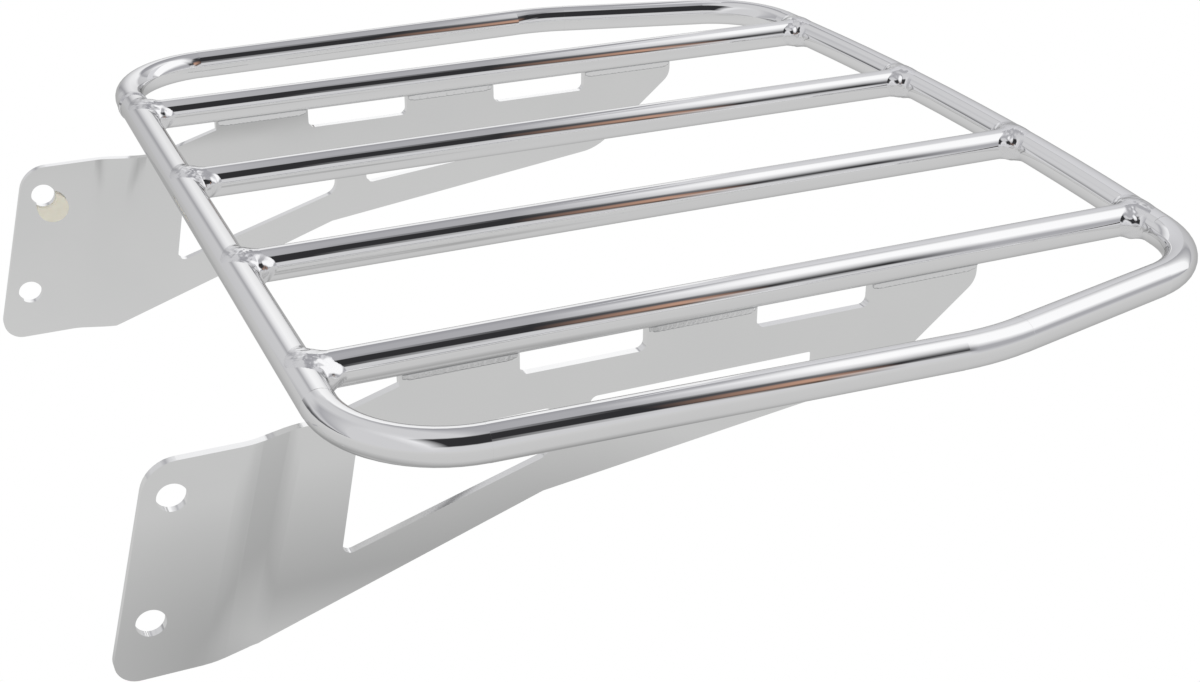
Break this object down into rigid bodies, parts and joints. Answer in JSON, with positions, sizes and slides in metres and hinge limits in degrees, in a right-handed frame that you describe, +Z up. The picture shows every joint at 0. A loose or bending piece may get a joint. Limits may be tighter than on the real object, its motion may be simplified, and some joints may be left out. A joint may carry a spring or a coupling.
{
  "type": "motorcycle luggage rack",
  "caption": "Chromed tubular luggage rack: a bent tube loop with bars along it, on two windowed side plates with bolt holes.",
  "frame": {"origin": "halfway between the two upper bolt holes, on the plane of symmetry", "axes": "+X to the rear of the motorcycle, +Y to its right side, +Z up; the bolt holes run along Y"},
  "size_m": [0.4186, 0.4164, 0.1067],
  "materials": {
    "tube_chrome": "polished chrome plate on bent steel tube",
    "plate_chrome": "chrome plate on flat steel, softer reflections than the tube",
    "weld_chrome": "chrome plate over lumpy weld beads",
    "nylon": "natural nylon, cream and matt"
  },
  "bodies": {
    "root": {"loop_tube": "tube_chrome", "left_outer_bar": "tube_chrome", "left_inner_bar": "tube_chrome", "right_inner_bar": "tube_chrome", "right_outer_bar": "tube_chrome", "left_side_plate": "plate_chrome", "right_side_plate": "plate_chrome", "loop_seam_weld": "weld_chrome", "left_outer_bar_front_weld": "weld_chrome", "left_inner_bar_front_weld": "weld_chrome", "right_inner_bar_front_weld": "weld_chrome", "right_outer_bar_front_weld": "weld_chrome", "left_outer_bar_rear_weld": "weld_chrome", "left_inner_bar_rear_weld": "weld_chrome", "right_inner_bar_rear_weld": "weld_chrome", "right_outer_bar_rear_weld": "weld_chrome", "left_front_tab_weld": "weld_chrome", "left_middle_tab_weld": "weld_chrome", "left_rear_tab_weld": "weld_chrome", "right_front_tab_weld": "weld_chrome", "right_middle_tab_weld": "weld_chrome", "right_rear_tab_weld": "weld_chrome", "nylon_pad": "nylon"}
  },
  "joints": []
}
